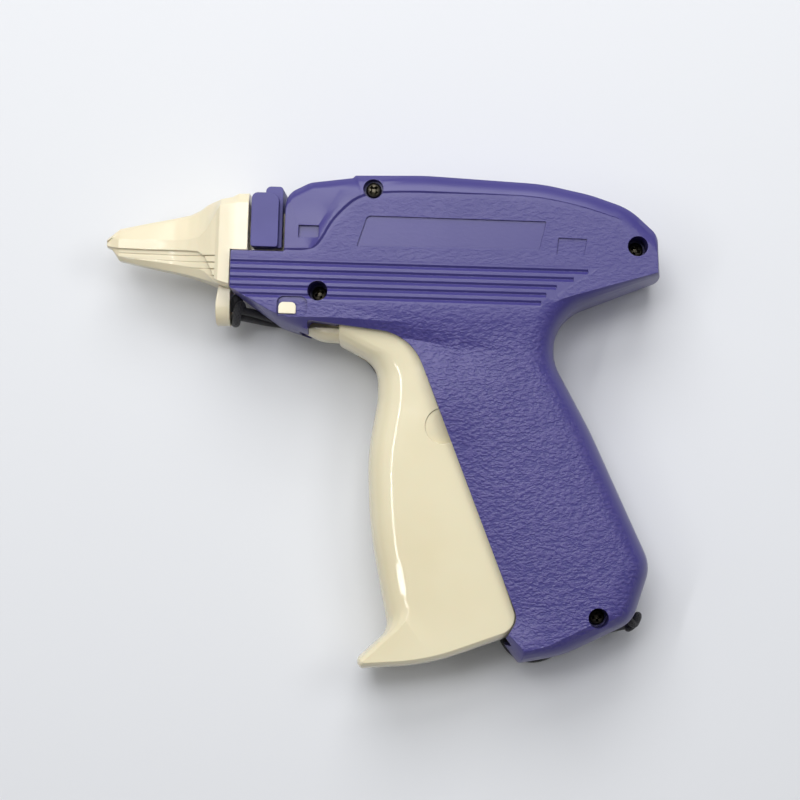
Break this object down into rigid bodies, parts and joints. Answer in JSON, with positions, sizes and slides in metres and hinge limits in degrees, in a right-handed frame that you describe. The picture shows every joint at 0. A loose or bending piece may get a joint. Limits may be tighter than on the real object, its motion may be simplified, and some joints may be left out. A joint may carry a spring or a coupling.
{
  "type": "garment tag attacher",
  "caption": "Pistol-shaped tag attacher lying on its side, with textured shells, a sprung trigger, hollow needle, push-on needle cover and tether.",
  "frame": {"origin": "on the drive lever's axis at the right side's flat, which the tool lies on, in the middle of the grip", "axes": "+X from the needle to the back of the body, +Y up the tool from the grip's heel to its top, +Z out of its left side"},
  "size_m": [0.1523, 0.1341, 0.03],
  "materials": {
    "shell": "moulded, textured, violet blue",
    "cream": "moulded, glossy, cream",
    "black_screw": "black steel",
    "steel": "bright steel",
    "spring_steel": "spring steel",
    "lever_plastic": "moulded, natural white",
    "pad": "soft black",
    "cord": "black braided cord"
  },
  "bodies": {
    "body": {"left_shell": "shell", "right_shell": "shell", "shell_screws": "black_screw", "top_screw": "black_screw", "lever_pin": "steel", "lever_spacers": "lever_plastic", "rear_bumper": "pad", "needle_holder": "cream", "needle_base": "cream", "needle": "steel", "lock_spring": "spring_steel", "feed_axle": "steel", "tether_cord": "cord", "tether_knot": "cord"},
    "trigger_body": {"trigger": "cream", "trigger_cross_pin": "steel", "cross_roller": "lever_plastic", "feed_pawl": "spring_steel"},
    "lever_body": {"drive_lever": "lever_plastic", "lever_spring": "spring_steel"},
    "slider_body": {"slider": "lever_plastic", "slider_pin": "steel", "push_rod": "steel"},
    "wheel_body": {"feed_wheel": "lever_plastic"},
    "lock_body": {"needle_lock_slide": "shell"},
    "cover_body": {"needle_cover": "cream", "tether_hitch": "cord"},
    "release_body": {"clip_release_button": "cream", "release_pawl": "lever_plastic", "release_spring": "spring_steel"}
  },
  "joints": [
    {"name": "trigger_pull", "type": "hinge", "parent": "body", "child": "trigger_body", "pos_m": [-0.057, 0.035, 0.015], "axis": [0, 0, 1], "range_deg": [0, 13], "stiffness_Nm_per_rad": 0.8, "springref_deg": -11.46},
    {"name": "lever_swing", "type": "hinge", "parent": "body", "child": "lever_body", "pos_m": [0, 0, 0.015], "axis": [0, 0, 1], "range_deg": [0, 45]},
    {"name": "slider_stroke", "type": "slide", "parent": "body", "child": "slider_body", "axis": [-1, 0, 0], "range_m": [0, 0.044]},
    {"name": "feed_turn", "type": "hinge", "parent": "body", "child": "wheel_body", "pos_m": [-0.0627, 0.04325, 0.015], "axis": [0, 0, 1], "range_deg": [-20, 0]},
    {"name": "needle_lock", "type": "slide", "parent": "body", "child": "lock_body", "axis": [0, 1, 0], "range_m": [0, 0.004]},
    {"name": "cover_pull", "type": "slide", "parent": "body", "child": "cover_body", "axis": [-1, 0, 0], "range_m": [0, 0.05], "deforming": ["tether_cord"]},
    {"name": "clip_release", "type": "slide", "parent": "body", "child": "release_body", "axis": [1, 0, 0], "range_m": [0, 0.0018], "stiffness_N_per_m": 400, "springref_m": -0.0008}
  ],
  "couplings": [
    {"joint": "lever_swing", "follows": "trigger_pull", "ratio": 3.4615},
    {"joint": "slider_stroke", "follows": "trigger_pull", "m_per_rad": 0.1939},
    {"joint": "feed_turn", "follows": "trigger_pull", "ratio": -1.538}
  ]
}
